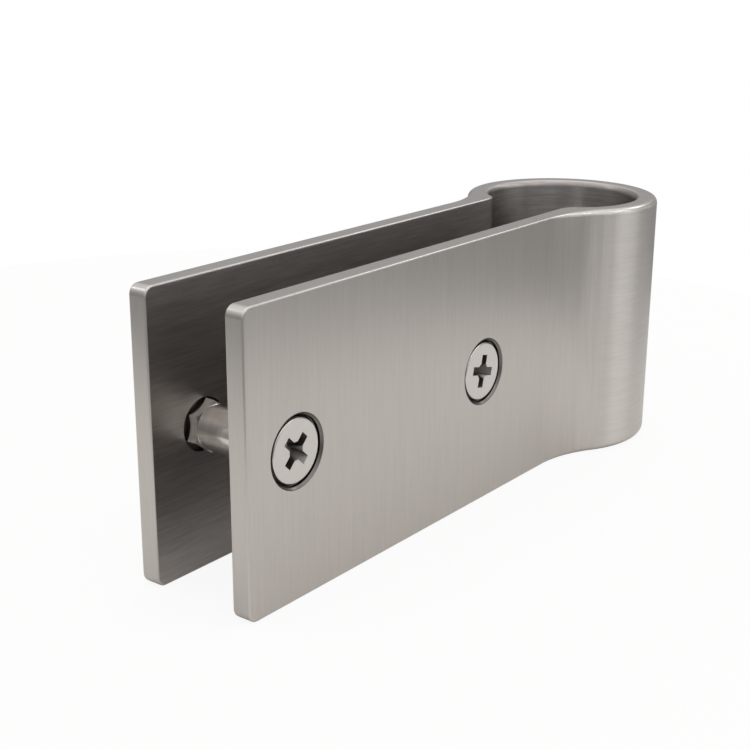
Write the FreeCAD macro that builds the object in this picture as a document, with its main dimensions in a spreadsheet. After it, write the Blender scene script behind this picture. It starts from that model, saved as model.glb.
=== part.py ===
import FreeCAD, Part
import math
import os

import Sketcher

# Shower screen bracket. One thick stainless steel strip is bent round into an eye for a rail tube, and its
# two straight plates stand either side of a glass panel. Two sleeves pass through the glass: each has a hex
# collar and a stud screwed into the rear plate, and takes a countersunk screw through the front plate.
# Frame: +X runs from the plates' free end to the eye, the screw heads face -Y, +Z is up, and the origin is
# the middle of the eye's bore.

# Driving sizes in millimetres, and turns in degrees, clockwise seen from the front where negative
SIZES = {
    "strip_height": 42.0,
    "plate_thickness": 3.0,
    "plate_gap": 13.8,
    "plate_reach": 91.5,
    "plate_corner_radius": 1.5,
    "bore_diameter": 25.2,
    "eye_wall": 3.7,
    "outer_neck_radius": 20.0,
    "inner_neck_radius": 4.0,
    "edge_radius": 0.5,
    "free_end_screw_inset": 9.7,
    "eye_side_screw_reach": 38.4,
    "countersink_diameter": 10.3,
    "clearance_hole_diameter": 5.5,
    "spot_face_diameter": 8.1,
    "spot_face_depth": 0.6,
    "thread_diameter": 5.0,
    "thread_clearance": 0.05,
    "head_diameter": 9.0,
    "head_land": 0.4,
    "head_edge_radius": 0.25,
    "screw_length": 12.0,
    "screw_tip_chamfer": 0.6,
    "free_end_screw_turn": -44.0,
    "eye_side_screw_turn": -13.0,
    "recess_width": 5.1,
    "recess_floor_width": 2.6,
    "recess_wing": 1.3,
    "recess_floor_wing": 1.0,
    "recess_depth": 2.2,
    "recess_centre_diameter": 2.6,
    "recess_centre_floor_diameter": 1.4,
    "recess_point_depth": 0.5,
    "sleeve_diameter": 6.4,
    "sleeve_bore_depth": 12.0,
    "collar_across_flats": 6.4,
    "collar_stand": 1.9,
    "collar_chamfer_angle": 30.0,
    "collar_turn": -6.0,
    "stud_length": 1.5,
    "stud_end_clearance": 0.1,
}

os.makedirs("parts", exist_ok=True)
doc = FreeCAD.newDocument("shower_screen_bracket")

sheet = doc.addObject("Spreadsheet::Sheet", "sizes")
for row, (alias, value) in enumerate(SIZES.items(), start=1):
    sheet.set("A%d" % row, alias)
    sheet.set("B%d" % row, str(value))
    sheet.setAlias("B%d" % row, alias)
doc.recompute()

# Lengths that several pieces share, written in terms of the sheet
INNER_FACE = "sizes.plate_gap / 2"
OUTER_FACE = "(sizes.plate_gap / 2 + sizes.plate_thickness)"
BORE_RADIUS = "sizes.bore_diameter / 2"
EYE_RADIUS = "(sizes.bore_diameter / 2 + sizes.eye_wall)"
SHANK_RADIUS = "(sizes.thread_diameter / 2 - sizes.thread_clearance)"
HEAD_SUNK = "((sizes.countersink_diameter - sizes.head_diameter) / 2 - sizes.head_land)"
SCREW_REACHES = {
    "free_end": "(sizes.plate_reach - sizes.free_end_screw_inset)",
    "eye_side": "sizes.eye_side_screw_reach",
}


def number(expression):
    """Value of an expression that reads the sheet"""
    return float(sheet.evalExpression(expression))


def origin_feature(body, role):
    """Plane or axis of a body's own origin"""
    return next(feature for feature in body.Origin.OriginFeatures if feature.Role == role)


def new_sketch(body, name, plane, offset="0"):
    """Sketch on one of the body's origin planes, moved along its normal"""
    sketch = body.newObject("Sketcher::SketchObject", name)
    sketch.AttachmentSupport = [(origin_feature(body, plane), "")]
    sketch.MapMode = "FlatFace"
    sketch.setExpression("AttachmentOffset.Base.z", offset)
    return sketch


def bind(sketch, expression, *constraint):
    """Dimension whose value follows the sheet"""
    index = sketch.addConstraint(Sketcher.Constraint(*constraint, number(expression)))
    name = "size_%d" % index
    sketch.renameConstraint(index, name)
    sketch.setExpression("Constraints." + name, expression)


def add_outline(sketch, corners):
    """Closed outline of straight lines, each corner given by two expressions"""
    points = [FreeCAD.Vector(number(across), number(up), 0) for across, up in corners]
    for index, point in enumerate(points):
        sketch.addGeometry(Part.LineSegment(point, points[(index + 1) % len(points)]), False)
    for index, (across, up) in enumerate(corners):
        following = (index + 1) % len(points)
        sketch.addConstraint(Sketcher.Constraint("Coincident", index, 2, following, 1))
        if across == "0":
            sketch.addConstraint(Sketcher.Constraint("PointOnObject", index, 1, -2))
        else:
            bind(sketch, across, "DistanceX", -1, 1, index, 1)
        if up == "0":
            sketch.addConstraint(Sketcher.Constraint("PointOnObject", index, 1, -1))
        else:
            bind(sketch, up, "DistanceY", -1, 1, index, 1)


def round_solid(body, kind, name, sketch):
    """Revolution or groove of a half section about the body's Z axis"""
    feature = body.newObject(kind, name)
    feature.Profile = sketch
    feature.ReferenceAxis = (origin_feature(body, "Z_Axis"), [""])
    feature.Angle = 360
    doc.recompute()
    return feature


def near(value, target):
    """True where two lengths agree to a thousandth of a millimetre"""
    return math.isclose(value, target, abs_tol=0.001)


def edge_names(shape, chosen):
    """Names of the edges of a shape that a test picks"""
    return ["Edge%d" % index for index, edge in enumerate(shape.Edges, start=1) if chosen(edge)]


def is_sharp(shape, edge):
    """True where the two faces at an edge meet at a clear angle"""
    middle = edge.valueAt((edge.FirstParameter + edge.LastParameter) / 2)
    normals = []
    for face in shape.ancestorsOfType(edge, Part.Face):
        normals.append(face.normalAt(*face.Surface.parameter(middle)))
    return len(normals) == 2 and normals[0].getAngle(normals[1]) > math.radians(30)


def line(start_x, start_y, end_x, end_y):
    """Straight line between two points"""
    return Part.LineSegment(FreeCAD.Vector(start_x, start_y, 0), FreeCAD.Vector(end_x, end_y, 0))


def arc(centre_x, centre_y, radius, start, end):
    """Arc counterclockwise between two angles"""
    circle = Part.Circle(FreeCAD.Vector(centre_x, centre_y, 0), FreeCAD.Vector(0, 0, 1), radius)
    return Part.ArcOfCircle(circle, start, end)


def draw_strip(sketch):
    """Plan of the bent strip: two plates, two necks that curve out and the eye"""
    reach = SIZES["plate_reach"]
    inner = number(INNER_FACE)
    outer = number(OUTER_FACE)
    outer_neck = SIZES["outer_neck_radius"]
    inner_neck = SIZES["inner_neck_radius"]
    ring_bore = number(BORE_RADIUS)
    ring_eye = number(EYE_RADIUS)
    # A neck's arc is tangent to its plate's face and to the ring, so its centre lies off both by its radius
    outer_y = outer + outer_neck
    outer_x = -math.sqrt((ring_eye + outer_neck) ** 2 - outer_y ** 2)
    outer_turn = math.atan2(outer_y, -outer_x)
    inner_y = inner + inner_neck
    inner_x = -math.sqrt((ring_bore + inner_neck) ** 2 - inner_y ** 2)
    inner_turn = math.atan2(inner_y, -inner_x)
    right_angle = math.pi / 2

    front_face = sketch.addGeometry(line(-reach, -outer, outer_x, -outer))
    front_neck = sketch.addGeometry(arc(outer_x, -outer_y, outer_neck, outer_turn, right_angle))
    eye = sketch.addGeometry(arc(0, 0, ring_eye, outer_turn - math.pi, math.pi - outer_turn))
    rear_neck = sketch.addGeometry(arc(outer_x, outer_y, outer_neck, -right_angle, -outer_turn))
    rear_face = sketch.addGeometry(line(outer_x, outer, -reach, outer))
    rear_end = sketch.addGeometry(line(-reach, outer, -reach, inner))
    rear_inside = sketch.addGeometry(line(-reach, inner, inner_x, inner))
    rear_lip = sketch.addGeometry(arc(inner_x, inner_y, inner_neck, -right_angle, -inner_turn))
    bore = sketch.addGeometry(arc(0, 0, ring_bore, inner_turn - math.pi, math.pi - inner_turn))
    front_lip = sketch.addGeometry(arc(inner_x, -inner_y, inner_neck, inner_turn, right_angle))
    front_inside = sketch.addGeometry(line(inner_x, -inner, -reach, -inner))
    front_end = sketch.addGeometry(line(-reach, -inner, -reach, -outer))

    tangents = [
        (front_face, 2, front_neck, 2),
        (front_neck, 1, eye, 1),
        (eye, 2, rear_neck, 2),
        (rear_neck, 1, rear_face, 1),
        (rear_inside, 2, rear_lip, 1),
        (rear_lip, 2, bore, 2),
        (bore, 1, front_lip, 1),
        (front_lip, 2, front_inside, 1),
    ]
    for joint in tangents:
        sketch.addConstraint(Sketcher.Constraint("Tangent", *joint))
    corners = [
        (rear_face, 2, rear_end, 1),
        (rear_end, 2, rear_inside, 1),
        (front_inside, 2, front_end, 1),
        (front_end, 2, front_face, 1),
        (eye, 3, -1, 1),
        (bore, 3, -1, 1),
    ]
    for joint in corners:
        sketch.addConstraint(Sketcher.Constraint("Coincident", *joint))
    for face in (front_face, rear_face, rear_inside, front_inside):
        sketch.addConstraint(Sketcher.Constraint("Horizontal", face))
    for end in (rear_end, front_end):
        sketch.addConstraint(Sketcher.Constraint("Vertical", end))
    bind(sketch, "sizes.plate_reach", "DistanceX", front_face, 1, -1, 1)
    bind(sketch, "sizes.plate_reach", "DistanceX", rear_face, 2, -1, 1)
    bind(sketch, OUTER_FACE, "DistanceY", front_face, 1, -1, 1)
    bind(sketch, OUTER_FACE, "DistanceY", -1, 1, rear_face, 2)
    bind(sketch, INNER_FACE, "DistanceY", front_end, 1, -1, 1)
    bind(sketch, INNER_FACE, "DistanceY", -1, 1, rear_end, 2)
    bind(sketch, EYE_RADIUS, "Radius", eye)
    bind(sketch, BORE_RADIUS, "Radius", bore)
    for neck in (front_neck, rear_neck):
        bind(sketch, "sizes.outer_neck_radius", "Radius", neck)
    for lip in (front_lip, rear_lip):
        bind(sketch, "sizes.inner_neck_radius", "Radius", lip)


def drill_pair(body, name, offset, diameter):
    """Hole feature at both screw axes, drilled rearwards from a plane across the strip"""
    sketch = new_sketch(body, name + "_centres", "XZ_Plane", offset)
    upright = FreeCAD.Vector(0, 0, 1)
    for reach in SCREW_REACHES.values():
        centre = FreeCAD.Vector(-number(reach), 0, 0)
        circle = sketch.addGeometry(Part.Circle(centre, upright, number(diameter + " / 2")))
        sketch.addConstraint(Sketcher.Constraint("PointOnObject", circle, 3, -1))
        bind(sketch, reach, "DistanceX", circle, 3, -1, 1)
        bind(sketch, diameter + " / 2", "Radius", circle)
    doc.recompute()
    hole = body.newObject("PartDesign::Hole", name)
    hole.Profile = sketch
    doc.recompute()
    hole.ThreadType = "None"
    hole.DepthType = "Dimension"
    hole.DrillPoint = "Flat"
    hole.setExpression("Diameter", diameter)
    return hole


def make_bracket():
    """The strip: bent plan, rounded edges, countersunk holes in front and tapped holes behind"""
    body = doc.addObject("PartDesign::Body", "bracket")
    plan = new_sketch(body, "strip_plan", "XY_Plane")
    draw_strip(plan)
    strip = body.newObject("PartDesign::Pad", "strip")
    strip.Profile = plan
    strip.SideType = "Symmetric"
    strip.setExpression("Length", "sizes.strip_height")
    doc.recompute()

    def across_free_end(edge):
        box = edge.BoundBox
        return near(box.XMax, -SIZES["plate_reach"]) and near(box.ZLength, 0)

    end_corners = body.newObject("PartDesign::Fillet", "end_corners")
    end_corners.Base = (strip, edge_names(strip.Shape, across_free_end))
    end_corners.setExpression("Radius", "sizes.plate_corner_radius")
    doc.recompute()

    def at_sharp_edge(edge):
        return is_sharp(end_corners.Shape, edge)

    eased_edges = body.newObject("PartDesign::Fillet", "eased_edges")
    eased_edges.Base = (end_corners, edge_names(end_corners.Shape, at_sharp_edge))
    eased_edges.setExpression("Radius", "sizes.edge_radius")
    doc.recompute()

    screw_holes = drill_pair(body, "screw_holes", OUTER_FACE, "sizes.clearance_hole_diameter")
    screw_holes.HoleCutType = "Countersink"
    screw_holes.HoleCutCountersinkAngle = 90
    screw_holes.setExpression("HoleCutDiameter", "sizes.countersink_diameter")
    screw_holes.setExpression("Depth", "sizes.plate_thickness + sizes.plate_gap / 2")
    doc.recompute()

    stud_holes = drill_pair(body, "stud_holes", "-" + INNER_FACE, "sizes.thread_diameter")
    stud_holes.HoleCutType = "Counterbore"
    stud_holes.setExpression("HoleCutDiameter", "sizes.spot_face_diameter")
    stud_holes.setExpression("HoleCutDepth", "sizes.spot_face_depth")
    stud_holes.setExpression("Depth", "sizes.spot_face_depth + sizes.stud_length + sizes.stud_end_clearance")
    doc.recompute()
    return body


def cut_cross_recess(body):
    """Two crossed wings that narrow towards the floor, and a pointed round centre"""
    floor = "-sizes.recess_depth"
    sections = []
    for name, offset, width, wing in (
        ("wing_top", "0", "sizes.recess_width", "sizes.recess_wing"),
        ("wing_floor", floor, "sizes.recess_floor_width", "sizes.recess_floor_wing"),
    ):
        section = new_sketch(body, name, "XY_Plane", offset)
        across = width + " / 2"
        up = wing + " / 2"
        add_outline(section, [(across, up), ("-" + across, up), ("-" + across, "-" + up), (across, "-" + up)])
        sections.append(section)
    doc.recompute()
    wing_slot = body.newObject("PartDesign::SubtractiveLoft", "wing_slot")
    wing_slot.Profile = sections[0]
    wing_slot.Sections = sections[1:]
    wing_slot.Ruled = True
    doc.recompute()
    cross = body.newObject("PartDesign::PolarPattern", "cross")
    cross.Originals = [wing_slot]
    cross.Axis = (origin_feature(body, "Z_Axis"), [""])
    cross.Angle = 90
    cross.Occurrences = 2
    body.Tip = cross
    doc.recompute()
    centre_section = new_sketch(body, "recess_centre_section", "XZ_Plane")
    add_outline(centre_section, [
        ("0", "0"),
        ("sizes.recess_centre_diameter / 2", "0"),
        ("sizes.recess_centre_floor_diameter / 2", floor),
        ("0", "-(sizes.recess_depth + sizes.recess_point_depth)"),
    ])
    round_solid(body, "PartDesign::Groove", "recess_centre", centre_section)


def make_screw(label, reach, turn):
    """Countersunk machine screw, seated in its countersink"""
    body = doc.addObject("PartDesign::Body", label)
    head_radius = "sizes.head_diameter / 2"
    cone_end = "-(sizes.head_land + sizes.head_diameter / 2 - " + SHANK_RADIUS + ")"
    section = new_sketch(body, "half_section", "XZ_Plane")
    add_outline(section, [
        ("0", "0"),
        (head_radius, "0"),
        (head_radius, "-sizes.head_land"),
        (SHANK_RADIUS, cone_end),
        (SHANK_RADIUS, "-sizes.screw_length"),
        ("0", "-sizes.screw_length"),
    ])
    blank = round_solid(body, "PartDesign::Revolution", "turned_blank", section)

    def at_face(edge):
        return near(edge.BoundBox.ZMin, 0)

    rounded = body.newObject("PartDesign::Fillet", "head_edge")
    rounded.Base = (blank, edge_names(blank.Shape, at_face))
    rounded.setExpression("Radius", "sizes.head_edge_radius")
    doc.recompute()

    def at_tip(edge):
        return near(edge.BoundBox.ZMax, -SIZES["screw_length"])

    tip = body.newObject("PartDesign::Chamfer", "tip")
    tip.Base = (rounded, edge_names(rounded.Shape, at_tip))
    tip.setExpression("Size", "sizes.screw_tip_chamfer")
    doc.recompute()
    cut_cross_recess(body)
    put_across(body, reach, "-(%s - %s)" % (OUTER_FACE, HEAD_SUNK), number(turn))
    return body


def make_sleeve(label, reach):
    """Threaded sleeve with a hex collar and a stud, turned and milled from hex bar"""
    body = doc.addObject("PartDesign::Body", label)
    thread_radius = "sizes.thread_diameter / 2"
    barrel_radius = "sizes.sleeve_diameter / 2"
    collar_seat = "-(sizes.plate_gap + sizes.spot_face_depth)"
    stud_end = "-(sizes.plate_gap + sizes.spot_face_depth + sizes.stud_length)"
    section = new_sketch(body, "half_section", "XZ_Plane")
    add_outline(section, [
        (thread_radius, "0"),
        (barrel_radius, "0"),
        (barrel_radius, collar_seat),
        (SHANK_RADIUS, collar_seat),
        (SHANK_RADIUS, stud_end),
        ("0", stud_end),
        ("0", "-sizes.sleeve_bore_depth"),
        (thread_radius, "-sizes.sleeve_bore_depth"),
    ])
    round_solid(body, "PartDesign::Revolution", "barrel", section)

    half_flats = "sizes.collar_across_flats / 2"
    corner = "sizes.collar_across_flats / sqrt(3)"
    half_side = "sizes.collar_across_flats / sqrt(12)"
    hexagon = new_sketch(body, "hexagon", "XY_Plane", collar_seat)
    add_outline(hexagon, [
        (half_flats, half_side),
        ("0", corner),
        ("-" + half_flats, half_side),
        ("-" + half_flats, "-" + half_side),
        ("0", "-" + corner),
        (half_flats, "-" + half_side),
    ])
    collar = body.newObject("PartDesign::Pad", "collar")
    collar.Profile = hexagon
    collar.setExpression("Length", "sizes.collar_stand + sizes.spot_face_depth")
    doc.recompute()

    # The collar's front corners are turned off on a slope that starts at the circle inside its flats
    collar_front = "-(sizes.plate_gap - sizes.collar_stand)"
    slope_fall = half_flats + " * tan(sizes.collar_chamfer_angle * 1deg)"
    slope_end = "-(sizes.plate_gap - sizes.collar_stand + %s)" % slope_fall
    clear_of_corners = "sizes.collar_across_flats"
    chamfer_section = new_sketch(body, "chamfer_section", "XZ_Plane")
    add_outline(chamfer_section, [
        (half_flats, collar_front),
        (clear_of_corners, collar_front),
        (clear_of_corners, slope_end),
    ])
    round_solid(body, "PartDesign::Groove", "collar_chamfer", chamfer_section)
    put_across(body, reach, "-" + INNER_FACE, number("sizes.collar_turn"))
    return body


def put_across(body, reach, depth, turn):
    """Lay a turned piece along Y with its own +Z facing the front, turned about its axis"""
    facing = FreeCAD.Rotation(FreeCAD.Vector(1, 0, 0), 90)
    turned = FreeCAD.Rotation(FreeCAD.Vector(0, 0, 1), turn)
    body.Placement = FreeCAD.Placement(FreeCAD.Vector(0, 0, 0), facing * turned)
    body.setExpression("Placement.Base.x", "-" + reach)
    body.setExpression("Placement.Base.y", depth)
    doc.recompute()


def check_document(bodies):
    """Stop if a feature failed, a cut took nothing away or a piece isn't one valid solid"""
    for item in doc.Objects:
        if "Invalid" in item.State or "Error" in item.State:
            raise RuntimeError("%s failed" % item.Name)
    cuts = ("PartDesign::Hole", "PartDesign::Groove", "PartDesign::SubtractiveLoft")
    for body in bodies:
        for feature in body.Group:
            if feature.TypeId in cuts and feature.Shape.Volume >= feature.BaseFeature.Shape.Volume:
                raise RuntimeError("%s cut nothing" % feature.Name)
        shape = body.Shape
        if shape.isNull() or not shape.isValid() or len(shape.Solids) != 1:
            raise RuntimeError("%s isn't one valid solid" % body.Label)


pieces = [make_bracket()]
for place, screw_reach in SCREW_REACHES.items():
    pieces.append(make_screw(place + "_screw", screw_reach, "sizes.%s_screw_turn" % place))
    pieces.append(make_sleeve(place + "_sleeve", screw_reach))
doc.recompute()
check_document(pieces)
for piece in pieces:
    piece.Shape.exportStep("parts/%s.step" % piece.Label)
    print(piece.Label, "volume %.1f mm3" % piece.Shape.Volume)
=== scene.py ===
import math

import bmesh
import bpy
from mathutils import Matrix, Vector
from mathutils.kdtree import KDTree


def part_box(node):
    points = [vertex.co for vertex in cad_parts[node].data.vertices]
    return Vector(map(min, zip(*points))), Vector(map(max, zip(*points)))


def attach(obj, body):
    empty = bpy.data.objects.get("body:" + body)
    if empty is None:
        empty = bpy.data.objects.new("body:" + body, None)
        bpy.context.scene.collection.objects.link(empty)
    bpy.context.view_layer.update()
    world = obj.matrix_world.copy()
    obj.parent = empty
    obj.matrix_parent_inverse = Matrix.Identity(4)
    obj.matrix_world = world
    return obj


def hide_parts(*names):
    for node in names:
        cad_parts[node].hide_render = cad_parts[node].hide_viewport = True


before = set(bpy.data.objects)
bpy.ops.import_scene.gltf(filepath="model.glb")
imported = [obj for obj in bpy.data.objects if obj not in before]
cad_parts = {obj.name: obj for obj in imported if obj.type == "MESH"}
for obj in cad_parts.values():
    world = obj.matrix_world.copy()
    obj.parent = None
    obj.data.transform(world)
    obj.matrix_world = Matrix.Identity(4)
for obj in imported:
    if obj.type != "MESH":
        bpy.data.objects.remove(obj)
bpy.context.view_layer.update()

# The view of the bracket: a little above it, from the free end of its two plates.
# Every length here is written in millimetres and turned to metres.
mm = 0.001
camera_place = Vector((-205.28, -117.73, 62.93)) * mm
camera_azimuth = math.radians(-52.33)
camera_elevation = math.radians(17.80)
camera_roll = math.radians(0.28)
away_from_object = Vector((
    math.sin(camera_azimuth) * math.cos(camera_elevation),
    -math.cos(camera_azimuth) * math.cos(camera_elevation),
    math.sin(camera_elevation),
))
lens = bpy.data.cameras.new("camera")
lens.sensor_width = 36
lens.lens = 65.29
lens.clip_start = 10 * mm
camera = bpy.data.objects.new("camera", lens)
camera.location = camera_place
camera.rotation_euler = (
    away_from_object.to_track_quat("Z", "Y").to_matrix() @ Matrix.Rotation(camera_roll, 3, "Z")
).to_euler()
bpy.context.scene.collection.objects.link(camera)
bpy.context.scene.camera = camera
bpy.context.scene.view_settings.view_transform = "Standard"

# The strip: 3 mm stainless steel plate, bent round into an eye for the rail tube, with its two ends left
# straight and parallel to hold the glass. Its overall sizes are read from the frame. Its edges were
# rounded by hand on an abrasive belt, more on the eye than on the plates.
strip_low, strip_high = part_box("bracket")
eye_radius = strip_high.y
half_height = strip_high.z
free_end = strip_low.x
strip_thickness = 3 * mm
slot_face = -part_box("free_end_sleeve")[0].y
plate_face = slot_face + strip_thickness
bore_radius = 12.6 * mm
outer_neck_radius = 20 * mm
inner_neck_radius = 4 * mm
neck_steps = 14
eye_steps = 96
plate_corner_radius = 1.5 * mm
plate_edge_radius = 0.3 * mm
eye_edge_radius = 1.0 * mm
edge_segments = 6
sharp_edge = math.radians(50)
neck_start = -20.6 * mm
neck_end = -9.24 * mm
lip_end = -10.2 * mm
lip_length = 3 * mm
near = 0.001 * mm


def rounded_edges(mesh, edges, radius, segments):
    """Rounds off the given edges of a mesh."""
    bmesh.ops.bevel(
        mesh, geom=edges, offset=radius, offset_type="OFFSET", affect="EDGES",
        segments=segments, profile=0.5, material=-1,
    )


def draw_side(mesh, face, neck_radius, round_radius):
    """One side of the strip seen from above, from the front plate's free end to the rear plate's."""
    neck_x = -math.sqrt((round_radius + neck_radius) ** 2 - (face + neck_radius) ** 2)
    neck_turn = math.pi / 2 - math.atan2(face + neck_radius, -neck_x)
    eye_turn = 2 * (math.pi / 2 + neck_turn)
    start = mesh.verts.new((free_end, -face, -half_height))
    first = len(mesh.edges)
    bend_start = bmesh.ops.extrude_vert_indiv(mesh, verts=[start])["verts"][0]
    bend_start.co.x = neck_x
    end = bend_start
    for centre, turn, steps in (
        ((neck_x, -face - neck_radius, 0), -neck_turn, neck_steps),
        ((0, 0, 0), eye_turn, eye_steps),
        ((neck_x, face + neck_radius, 0), -neck_turn, neck_steps),
    ):
        spun = bmesh.ops.spin(
            mesh, geom=[end], cent=centre, axis=(0, 0, 1), angle=turn, steps=steps, use_duplicate=False,
        )
        end = spun["geom_last"][0]
    far_end = bmesh.ops.extrude_vert_indiv(mesh, verts=[end])["verts"][0]
    far_end.co.x = free_end
    mesh.edges.ensure_lookup_table()
    return mesh.edges[first:]


def new_piece(name, mesh, materials):
    """A new object, with its faces pointing outwards, at the origin."""
    bmesh.ops.recalc_face_normals(mesh, faces=mesh.faces)
    data = bpy.data.meshes.new(name)
    mesh.to_mesh(data)
    mesh.free()
    for material in materials:
        data.materials.append(material)
    piece = bpy.data.objects.new(name, data)
    bpy.context.scene.collection.objects.link(piece)
    return piece


def apply_modifiers(piece):
    """Makes what the piece's modifiers show its own mesh."""
    bpy.context.view_layer.update()
    shown = piece.evaluated_get(bpy.context.evaluated_depsgraph_get())
    data = bpy.data.meshes.new_from_object(shown)
    piece.modifiers.clear()
    piece.data = data


def smooth(piece):
    """Rounds stay smooth, flats stay flat, and every modifier is made part of the mesh."""
    apply_modifiers(piece)
    mesh = bmesh.new()
    mesh.from_mesh(piece.data)
    bmesh.ops.dissolve_degenerate(mesh, dist=near, edges=mesh.edges)
    mesh.to_mesh(piece.data)
    mesh.free()
    piece.data.shade_smooth()
    piece.data.set_sharp_from_angle(angle=math.radians(35))
    even = piece.modifiers.new("even", "WEIGHTED_NORMAL")
    even.keep_sharp = True
    apply_modifiers(piece)


strip = bmesh.new()
sides = draw_side(strip, plate_face, outer_neck_radius, eye_radius)
sides += draw_side(strip, slot_face, inner_neck_radius, bore_radius)
bmesh.ops.bridge_loops(strip, edges=sides)
risen = bmesh.ops.extrude_face_region(strip, geom=strip.faces[:])
bmesh.ops.translate(
    strip, verts=[v for v in risen["geom"] if isinstance(v, bmesh.types.BMVert)], vec=(0, 0, 2 * half_height),
)
bmesh.ops.recalc_face_normals(strip, faces=strip.faces)
corners = [
    edge for edge in strip.edges
    if all(abs(v.co.x - free_end) < 0.01 * mm for v in edge.verts)
    and abs(edge.verts[0].co.z - edge.verts[1].co.z) < 0.01 * mm
]
rounded_edges(strip, corners, plate_corner_radius, 8)


def steel(hex_colour):
    """A linear colour from the sRGB hex value that a paint chart would give."""
    levels = [int(hex_colour[i:i + 2], 16) / 255 for i in (1, 3, 5)]
    return [level / 12.92 if level <= 0.04045 else ((level + 0.055) / 1.055) ** 2.4 for level in levels]


def add_node(tree, kind, inputs=None, **settings):
    """A node with its settings, and its sockets given a value or a link."""
    node = tree.nodes.new("ShaderNode" + kind)
    for name, value in settings.items():
        setattr(node, name, value)
    for socket, value in (inputs or {}).items():
        if isinstance(value, bpy.types.NodeSocket):
            tree.links.new(value, node.inputs[socket])
        else:
            node.inputs[socket].default_value = value
    return node


def line_pattern(tree, place, scale):
    """Brush lines as noise drawn out along one axis: many short lines over some broader, fainter ones."""
    layers = []
    for share in (1, 3):
        drawn = add_node(tree, "Mapping", {"Vector": place, "Scale": [value / share for value in scale]})
        noise = add_node(tree, "TexNoise", {
            "Vector": drawn.outputs[0], "Scale": 1, "Detail": 2, "Roughness": 0.6,
        })
        layers.append(noise.outputs["Fac"])
    return add_node(tree, "Mix", {"Factor": 0.3, "A": layers[0], "B": layers[1]}).outputs[0]


pattern_low = 0.35
pattern_high = 0.65
gloss_spread = 0.015


def worked_steel(name, scale, dark, light, roughness, line_height, stretch=0, turn=0, eye_scale=None):
    """Stainless steel with the marks of its last working. scale is the marks per metre along X, Y and Z, and
    eye_scale the same on the eye, where the belt ran round it. stretch and turn draw the gloss out."""
    material = bpy.data.materials.new(name)
    material.use_nodes = True
    tree = material.node_tree
    shader = tree.nodes["Principled BSDF"]
    shader.inputs["Metallic"].default_value = 1
    place = add_node(tree, "TexCoord").outputs["Object"]
    lines = line_pattern(tree, place, scale)
    if eye_scale:
        split = add_node(tree, "SeparateXYZ", {0: place})
        on_eye = add_node(tree, "MapRange", {
            "Value": split.outputs["X"], "From Min": neck_end - 1 * mm, "From Max": neck_end + 3 * mm,
        })
        lines = add_node(tree, "Mix", {
            "Factor": on_eye.outputs[0], "A": lines, "B": line_pattern(tree, place, eye_scale),
        }).outputs[0]
    colour = add_node(tree, "ValToRGB", {"Fac": lines})
    colour.color_ramp.elements[0].position = pattern_low
    colour.color_ramp.elements[0].color = [*steel(dark), 1]
    colour.color_ramp.elements[1].position = pattern_high
    colour.color_ramp.elements[1].color = [*steel(light), 1]
    rough = add_node(tree, "MapRange", {
        "Value": lines, "From Min": pattern_low, "From Max": pattern_high,
        "To Min": roughness - gloss_spread, "To Max": roughness + gloss_spread,
    })
    bump = add_node(tree, "Bump", {"Height": lines, "Strength": 1, "Distance": line_height})
    tangent = add_node(tree, "Tangent", direction_type="RADIAL", axis="Z")
    shader.inputs["Anisotropic"].default_value = stretch
    shader.inputs["Anisotropic Rotation"].default_value = turn
    for socket, output in (
        ("Base Color", colour.outputs[0]),
        ("Roughness", rough.outputs[0]),
        ("Normal", bump.outputs[0]),
        ("Tangent", tangent.outputs[0]),
    ):
        tree.links.new(output, shader.inputs[socket])
    return material


def between(first, second, share):
    """A hex colour part of the way from one to another."""
    pairs = [(int(first[i:i + 2], 16), int(second[i:i + 2], 16)) for i in (1, 3, 5)]
    return "#" + "".join("%02X" % round(a + share * (b - a)) for a, b in pairs)


# Marks per metre along X, Y and Z, for brushing that runs up and down or round the bracket. The real grit's
# marks are too fine to show in the render, so they are drawn as coarse as they need to be to show.
upward = (4000, 4000, 130)
around = (180, 180, 3200)
plate_gloss_sideways = 0.175
plate_gloss_upright = 0.096
eye_gloss_sideways = 0.077
eye_gloss_upright = 0.405
plate_line_height = 0.002 * mm
eye_line_height = 0.007 * mm
blend_steps = 6
blend_start = neck_end - 3.6 * mm
blend_length = 6 * mm


def brushed_outside_and_eye_highlight(share):
    """The strip's outside, from the plates' upright brushing at 0 to the eye's at 1. Upright marks draw the
    gloss out sideways, and marks that run round the eye draw it out up and down. Towards the eye the colours
    are painted lighter, as a painted highlight on the eye."""
    sideways = plate_gloss_sideways ** (1 - share) * eye_gloss_sideways ** share
    up_and_down = plate_gloss_upright ** (1 - share) * eye_gloss_upright ** share
    narrow, wide = sorted((sideways, up_and_down))
    return worked_steel(
        "stainless_brushed_%d" % round(100 * share), upward,
        between("#C4BFBA", "#CEC9C4", share), between("#CAC5C0", "#D8D3CE", share),
        (narrow * wide) ** 0.25, plate_line_height + (eye_line_height - plate_line_height) * share,
        (1 - narrow / wide) / 0.9, 0 if sideways > up_and_down else 0.25, around,
    )


# The eye's colours are painted lighter than the plates', a painted highlight that brightens the bands down
# the eye.
brushed = [brushed_outside_and_eye_highlight(step / blend_steps) for step in range(blend_steps + 1)]
# Between the plates the brushing runs along the strip, and it was left duller than outside. Its colours are
# # painted darker than the outside's, as painted shade between the plates.
brushed_inside_painted_shade = worked_steel(
    "stainless_brushed_inside", around, "#A8A3A0", "#BCB7B3", 0.36, 0.006 * mm, 0.5, 0.25,
)
# The bore was brushed round, so its marks draw each reflection out up and down. Its colours are painted
# # darker than the outside's, as painted shade inside the eye.
brushed_bore_painted_shade = worked_steel(
    "stainless_brushed_bore", around, "#A09B98", "#B8B3AF", 0.38, 0.009 * mm, 0.85, 0.25,
)
# The edges were linished on a fine belt: an even, soft gloss in which no line shows.
brushed_edge = worked_steel(
    "stainless_linished_edge", (300, 300, 300), "#C0BBB7", "#C2BDB9", 0.28, 0,
)
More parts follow.
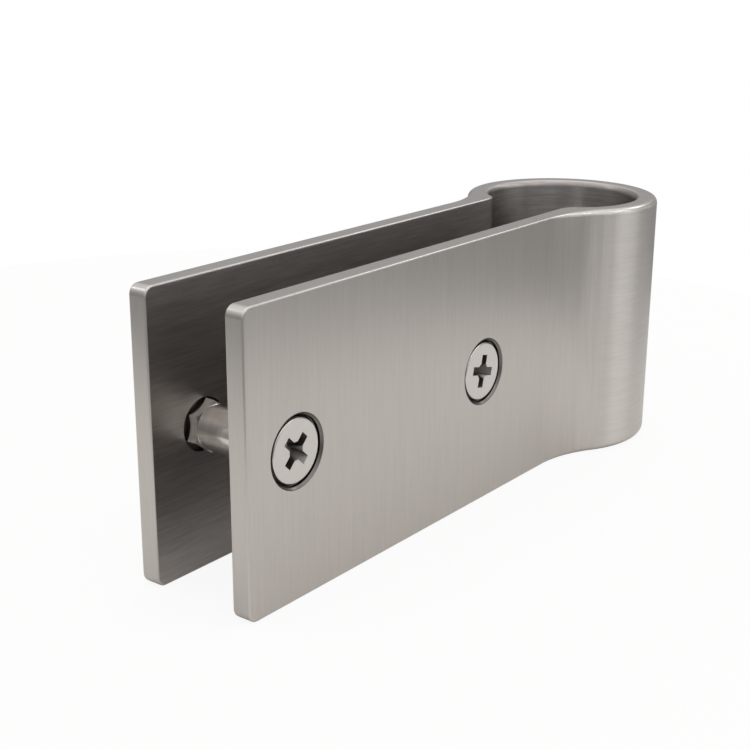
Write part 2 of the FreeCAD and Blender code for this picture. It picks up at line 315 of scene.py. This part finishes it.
# The holes were cut by a drill and a countersink: dull grey rings, painted darker than the brushed faces as
# # painted shade inside the holes.
machined_painted_shade = worked_steel(
    "stainless_machined_hole", (300, 2500, 300), "#6A6663", "#7C7875", 0.3, 0.0006 * mm,
)
finishes = [*brushed, brushed_edge, brushed_inside_painted_shade, brushed_bore_painted_shade]
bracket = new_piece("bracket_strip", strip, finishes)
rounding = bracket.modifiers.new("rounding", "BEVEL")
rounding.limit_method = "ANGLE"
rounding.angle_limit = sharp_edge
rounding.width = plate_edge_radius
rounding.segments = edge_segments
rounding.use_clamp_overlap = False
rounding.loop_slide = False
apply_modifiers(bracket)

# The rounding grows towards the eye: each of its points moves away from the corner that it was cut from.
feet = KDTree(len(bracket.data.vertices))
for vert in bracket.data.vertices:
    if abs(half_height - plate_edge_radius - abs(vert.co.z)) < near:
        feet.insert((vert.co.x, vert.co.y, 0), vert.index)
feet.balance()
for vert in bracket.data.vertices:
    if half_height - abs(vert.co.z) < plate_edge_radius + near and vert.co.x > neck_start:
        foot = feet.find((vert.co.x, vert.co.y, 0))[0]
        inside = abs(foot.y) < slot_face + 1 * mm or foot.xy.length < bore_radius + 1 * mm
        start, end = (lip_end, lip_end + lip_length) if inside else (neck_start, neck_end)
        on_eye = min(max((foot.x - start) / (end - start), 0), 1)
        corner = Vector((foot.x, foot.y, math.copysign(half_height, vert.co.z)))
        vert.co = corner + (vert.co - corner) * (1 + on_eye * (eye_edge_radius / plate_edge_radius - 1))

# Each face gets the finish that the belt left there, which also carries the painted shade between the plates
# # and in the bore, and the painted highlight on the eye.
for side in bracket.data.polygons:
    middle = Vector((min(side.center.x, 0), 0, side.center.z))
    in_bore = side.center.xy.length < bore_radius + 1 * mm and side.center.x > lip_end
    if abs(side.normal.z) > (0.9 if in_bore else 0.6):
        finish = brushed_edge
    elif in_bore:
        finish = brushed_bore_painted_shade
    elif side.normal.dot(side.center - middle) < -0.1 * mm and side.center.x > free_end + 1 * mm:
        finish = brushed_inside_painted_shade
    else:
        on_eye = (side.center.x - blend_start) / blend_length
        finish = brushed[round(blend_steps * min(max(on_eye, 0), 1))]
    side.material_index = finishes.index(finish)


# The holes: two countersunk clearance holes drilled through the front plate, and behind each a spot face
# and a blind tapped hole in the rear plate's inner face, for a sleeve's stud.
def spun_round(name, outline, screw_x, material, steps=72):
    """A turned shape: its outline, as radius and place along Y, is spun about the screw's axis."""
    mesh = bmesh.new()
    axis = Vector((screw_x, 0, 0))
    verts = [mesh.verts.new((screw_x + radius, y, 0)) for radius, y in outline]
    edges = [mesh.edges.new(pair) for pair in zip(verts, verts[1:])]
    bmesh.ops.spin(
        mesh, geom=verts + edges, cent=axis, axis=(0, 1, 0), angle=2 * math.pi, steps=steps,
        use_merge=True, use_duplicate=False,
    )
    bmesh.ops.remove_doubles(mesh, verts=mesh.verts, dist=near)
    return new_piece(name, mesh, [material])


def ease_edges(piece, width):
    """Takes the sharpness off a piece's edges, which then catch the light."""
    eased = piece.modifiers.new("eased", "BEVEL")
    eased.width = width
    eased.segments = 2
    eased.limit_method = "ANGLE"
    eased.angle_limit = sharp_edge
    eased.material = 0


def cut_away(piece, cutters, ease=0):
    """Cuts each cutter's shape out of the piece, and then leaves the cutter out of the scene."""
    for cutter in cutters:
        cut = piece.modifiers.new(cutter.name, "BOOLEAN")
        cut.object = cutter
        cut.operation = "DIFFERENCE"
        cut.solver = "EXACT"
        cut.material_mode = "TRANSFER"
    if ease:
        ease_edges(piece, ease)
    smooth(piece)
    for cutter in cutters:
        bpy.data.objects.remove(cutter)


screw_places = {
    name: (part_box(name)[0].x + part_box(name)[1].x) / 2 for name in ("free_end_screw", "eye_side_screw")
}
# Each countersink is a little wider than the head that stands in it, which leaves a dark ring round the head.
countersink_radius = 5.15 * mm
countersink_ease = 0.1 * mm
gap_radius = 4.9 * mm
gap_wall = 1.0 * mm
gap_depth = 1.25 * mm
clearance_radius = 2.75 * mm
spot_radius = 3.85 * mm
spot_depth = 0.6 * mm
tapped_radius = 2.5 * mm
tapped_depth = 1.6 * mm
seat_depth = gap_radius - gap_wall - clearance_radius
cutter_reach = 1 * mm
cutters = []
for screw_x in screw_places.values():
    cutters.append(spun_round("countersink", [
        (0, -plate_face - cutter_reach),
        (countersink_radius + countersink_ease, -plate_face - cutter_reach),
        (countersink_radius + countersink_ease, -plate_face - near),
        (countersink_radius + 0.3 * countersink_ease, -plate_face + 0.3 * countersink_ease),
        (countersink_radius, -plate_face + countersink_ease),
        (gap_radius, -plate_face + countersink_ease + countersink_radius - gap_radius),
        (gap_radius, -plate_face + gap_depth - 0.4 * mm),
        (gap_radius - gap_wall / 2, -plate_face + gap_depth),
        (gap_radius - gap_wall, -plate_face + gap_depth),
        (clearance_radius, -plate_face + gap_depth + seat_depth),
        (clearance_radius, -slot_face + cutter_reach),
        (0, -slot_face + cutter_reach),
    ], screw_x, machined_painted_shade))
    cutters.append(spun_round("tapped_hole", [
        (0, slot_face - cutter_reach),
        (spot_radius, slot_face - cutter_reach),
        (spot_radius, slot_face + spot_depth),
        (tapped_radius, slot_face + spot_depth),
        (tapped_radius, slot_face + spot_depth + tapped_depth),
        (0, slot_face + spot_depth + tapped_depth),
    ], screw_x, machined_painted_shade))
cut_away(bracket, cutters)
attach(bracket, "root")
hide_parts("bracket")

# The screws: M5 countersunk machine screws of stainless steel, cold headed with a cross recess. They pass
# through the front plate into the sleeves and stand a little below its face.
head_radius = 4.5 * mm
head_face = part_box("free_end_screw")[0].y
head_land = 0.4 * mm
head_edge = 0.25 * mm
shank_radius = 2.45 * mm
tip_chamfer = 0.6 * mm
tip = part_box("free_end_screw")[1].y
recess_depth = 2.2 * mm
wing_mouth = (2.55 * mm, 0.65 * mm)
wing_floor = (1.5 * mm, 0.5 * mm)
core_mouth = 1.3 * mm
core_floor = 0.7 * mm
mouth_edge = 0.08 * mm
recess_turns = {"free_end_screw": math.radians(44), "eye_side_screw": math.radians(13)}
# Cold heading leaves a smooth, even face that is a little paler than the strip.
screw_steel = worked_steel(
    "stainless_cold_headed", (7000, 7000, 7000), "#D0CBC8", "#D2CECA", 0.24, 0.0002 * mm,
)
# The punched recess is rough, so it stays dull, and its colours are painted dark as painted shade inside the
# # recess.
recess_painted_shade = worked_steel(
    "stainless_punched_recess_painted_shade", (900, 900, 900), "#827E7B", "#94908D", 0.36, 0.002 * mm,
)


def tapered_block(name, half_mouth, half_floor, depth, material):
    """A cutter that narrows from the mouth to the floor, and starts at the screw's face."""
    mesh = bmesh.new()
    bmesh.ops.create_cube(mesh, size=2)
    for vert in mesh.verts:
        at_floor = vert.co.y > 0
        half = half_floor if at_floor else half_mouth
        vert.co = (vert.co.x * half[0], head_face + (depth if at_floor else 0), vert.co.z * half[1])
    return new_piece(name, mesh, [material])


head_round = []
for step in range(7):
    turn = math.radians(15 * step)
    head_round.append((
        head_radius - head_edge * (1 - math.sin(turn)), head_face + head_edge * (1 - math.cos(turn)),
    ))
for name, screw_x in screw_places.items():
    screw = spun_round(name + "_turned", [
        (0, head_face),
        *head_round,
        (head_radius, head_face + head_land),
        (shank_radius, head_face + head_land + head_radius - shank_radius),
        (shank_radius, tip - tip_chamfer),
        (shank_radius - tip_chamfer, tip),
        (0, tip),
    ], screw_x, screw_steel)
    wings = []
    for quarter in (0, 90):
        wing = tapered_block("wing", wing_mouth, wing_floor, recess_depth, recess_painted_shade)
        turn = Matrix.Rotation(math.radians(quarter) + recess_turns[name], 4, "Y")
        wing.data.transform(Matrix.Translation((screw_x, 0, 0)) @ turn)
        wings.append(wing)
    core = spun_round("core", [
        (0, head_face - 0.01 * mm),
        (core_mouth, head_face - 0.01 * mm),
        (core_floor, head_face + recess_depth),
        (0, head_face + recess_depth + 0.5 * mm),
    ], screw_x, recess_painted_shade, 32)
    cut_away(screw, wings + [core], mouth_edge)
    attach(screw, "root")
    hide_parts(name)

# The sleeves: round threaded bushes turned from stainless hex bar, of which a chamfered collar is left.
# Each stands between the plates, screwed into the rear one by a stud, and takes the screw at its front.
barrel_radius = 3.2 * mm
barrel_bore = 2.5 * mm
bore_depth = 12 * mm
collar_flat = 3.2 * mm
collar_stand = 1.9 * mm
collar_slope = math.tan(math.radians(30))
collar_turn = math.radians(6)
collar_edge = 0.1 * mm
stud_length = 1.5 * mm
# Turning leaves fine rings round the barrel, and a bright gloss.
turned_steel = worked_steel(
    "stainless_turned", (60, 3000, 60), "#CAC5C1", "#DEDAD6", 0.16, 0.002 * mm,
)
collar_front = slot_face - collar_stand
collar_back = slot_face + spot_depth
corner_radius = collar_flat / math.cos(math.radians(30))
chamfer = (corner_radius - collar_flat) * 1.05
for name, screw_x in screw_places.items():
    sleeve_name = name.replace("screw", "sleeve")
    sleeve = spun_round(sleeve_name + "_turned", [
        (0, -slot_face + bore_depth),
        (barrel_bore, -slot_face + bore_depth),
        (barrel_bore, -slot_face),
        (barrel_radius - 0.15 * mm, -slot_face),
        (barrel_radius, -slot_face + 0.15 * mm),
        (barrel_radius, collar_front + 1 * mm),
        (barrel_radius - 0.1 * mm, collar_back),
        (shank_radius, collar_back),
        (shank_radius, collar_back + stud_length),
        (0, collar_back + stud_length),
    ], screw_x, turned_steel)
    prism = bmesh.new()
    bmesh.ops.create_cone(
        prism, cap_ends=True, segments=6, radius1=corner_radius, radius2=corner_radius,
        depth=collar_back - collar_front,
        matrix=Matrix.Translation((screw_x, (collar_front + collar_back) / 2, 0))
        @ Matrix.Rotation(collar_turn, 4, "Y") @ Matrix.Rotation(math.radians(90), 4, "X"),
    )
    collar = new_piece("collar", prism, [turned_steel])
    turned_away = spun_round("collar_chamfer", [
        (barrel_radius - 0.2 * mm, collar_front),
        (corner_radius - chamfer, collar_front),
        (corner_radius + 0.01 * mm, collar_front + chamfer * collar_slope),
        (corner_radius + 0.01 * mm, collar_back),
        (barrel_radius - 0.2 * mm, collar_back),
        (barrel_radius - 0.2 * mm, collar_front),
    ], screw_x, turned_steel)
    keep = collar.modifiers.new("keep", "BOOLEAN")
    keep.object = turned_away
    keep.operation = "INTERSECT"
    keep.solver = "EXACT"
    join = sleeve.modifiers.new("join", "BOOLEAN")
    join.object = collar
    join.operation = "UNION"
    join.solver = "EXACT"
    ease_edges(sleeve, collar_edge)
    smooth(sleeve)
    for used in (collar, turned_away):
        bpy.data.objects.remove(used)
    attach(sleeve, "root")
    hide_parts(sleeve_name)

# The floor is plain and pale. The camera sees it near white, and it keeps the bracket's soft shadow.
floor_radius = 145 * mm
floor_middle = (-30 * mm, 40 * mm, -half_height)
floor_white = 0.9
floor_shine = 0.04
floor_mesh = bmesh.new()
bmesh.ops.create_circle(
    floor_mesh, cap_ends=True, segments=96, radius=floor_radius, matrix=Matrix.Translation(floor_middle),
)
floor_paint = bpy.data.materials.new("pale_floor")
floor_paint.use_nodes = True
tree = floor_paint.node_tree
tree.nodes["Principled BSDF"].inputs["Base Color"].default_value = [*steel("#E6E4E2"), 1]
tree.nodes["Principled BSDF"].inputs["Roughness"].default_value = 0.8
path = add_node(tree, "LightPath")
shine = add_node(tree, "Math", {0: path.outputs["Is Glossy Ray"], 1: floor_shine}, operation="MULTIPLY")
white_share = add_node(tree, "Math", {
    0: path.outputs["Is Camera Ray"], 1: floor_white, 2: shine.outputs[0],
}, operation="MULTIPLY_ADD")
white = add_node(tree, "Emission", {"Color": (1, 1, 1, 1), "Strength": 1})
floor_mix = add_node(tree, "MixShader", {
    0: white_share.outputs[0], 1: tree.nodes["Principled BSDF"].outputs[0], 2: white.outputs[0],
})
tree.links.new(floor_mix.outputs[0], tree.nodes["Material Output"].inputs["Surface"])
floor = new_piece("floor", floor_mesh, [floor_paint])

# The light: a pale studio that grows brighter overhead, and soft boxes round the bracket. The low ones light
# the front plate, the high ones the rounded edges and the bands down the eye, and the last two the back.
studio_low = 0.32
studio_gain = 0.66
studio_bend = 0.62
world = bpy.data.worlds.new("studio")
world.use_nodes = True
bpy.context.scene.world = world
tree = world.node_tree
path = add_node(tree, "LightPath")
direction = add_node(tree, "TexCoord")
height = add_node(tree, "SeparateXYZ", {0: direction.outputs["Generated"]})
rise = add_node(tree, "MapRange", {"Value": height.outputs["Z"], "From Min": 0.1, "From Max": 1})
gain = add_node(tree, "Math", {
    0: rise.outputs[0], 1: studio_bend, 2: studio_gain,
}, operation="MULTIPLY_ADD")
pale = add_node(tree, "Math", {
    0: rise.outputs[0], 1: gain.outputs[0], 2: studio_low,
}, operation="MULTIPLY_ADD")
level = add_node(tree, "Mix", {"Factor": path.outputs["Is Camera Ray"], "A": pale.outputs[0], "B": 1.0})
tree.nodes["Background"].inputs["Color"].default_value = (1, 1, 1, 1)
tree.links.new(level.outputs[0], tree.nodes["Background"].inputs["Strength"])
bracket_middle = Vector((-38 * mm, 0, 0))


def soft_box(name, azimuth, elevation, distance, width, height, level):
    """A soft box of even brightness. Azimuth is measured from +X towards +Y, about the bracket's middle."""
    lamp = bpy.data.lights.new(name, "AREA")
    lamp.shape = "RECTANGLE"
    lamp.size = width
    lamp.size_y = height
    lamp.energy = level * math.pi * width * height
    box = bpy.data.objects.new(name, lamp)
    out = Vector((
        math.cos(math.radians(azimuth)) * math.cos(math.radians(elevation)),
        math.sin(math.radians(azimuth)) * math.cos(math.radians(elevation)),
        math.sin(math.radians(elevation)),
    ))
    box.location = bracket_middle + out * distance
    box.rotation_euler = out.to_track_quat("Z", "Y").to_euler()
    box.visible_camera = False
    bpy.context.scene.collection.objects.link(box)


soft_box("front_box", -60, 20, 0.6, 0.34, 0.2, 0.6)
soft_box("low_box", -67, 2, 0.55, 0.14, 0.1, 1.0)
soft_box("low_right_box", -52, 2, 0.55, 0.14, 0.1, 0.8)
soft_box("key_box", -55, 42, 0.65, 0.1, 0.12, 3.4)
soft_box("left_box", -97, 39, 0.65, 0.12, 0.12, 2.4)
soft_box("right_box", -15, 37, 0.65, 0.2, 0.12, 2.5)
soft_box("near_box", -125, 20, 0.3, 0.12, 0.12, 0.35)
soft_box("band_box", -93, 6, 0.55, 0.03, 0.1, 1.0)
soft_box("rear_box", 115, 36, 0.6, 0.1, 0.1, 2.5)
soft_box("far_box", 12, 3, 0.6, 0.08, 0.08, 0.3)
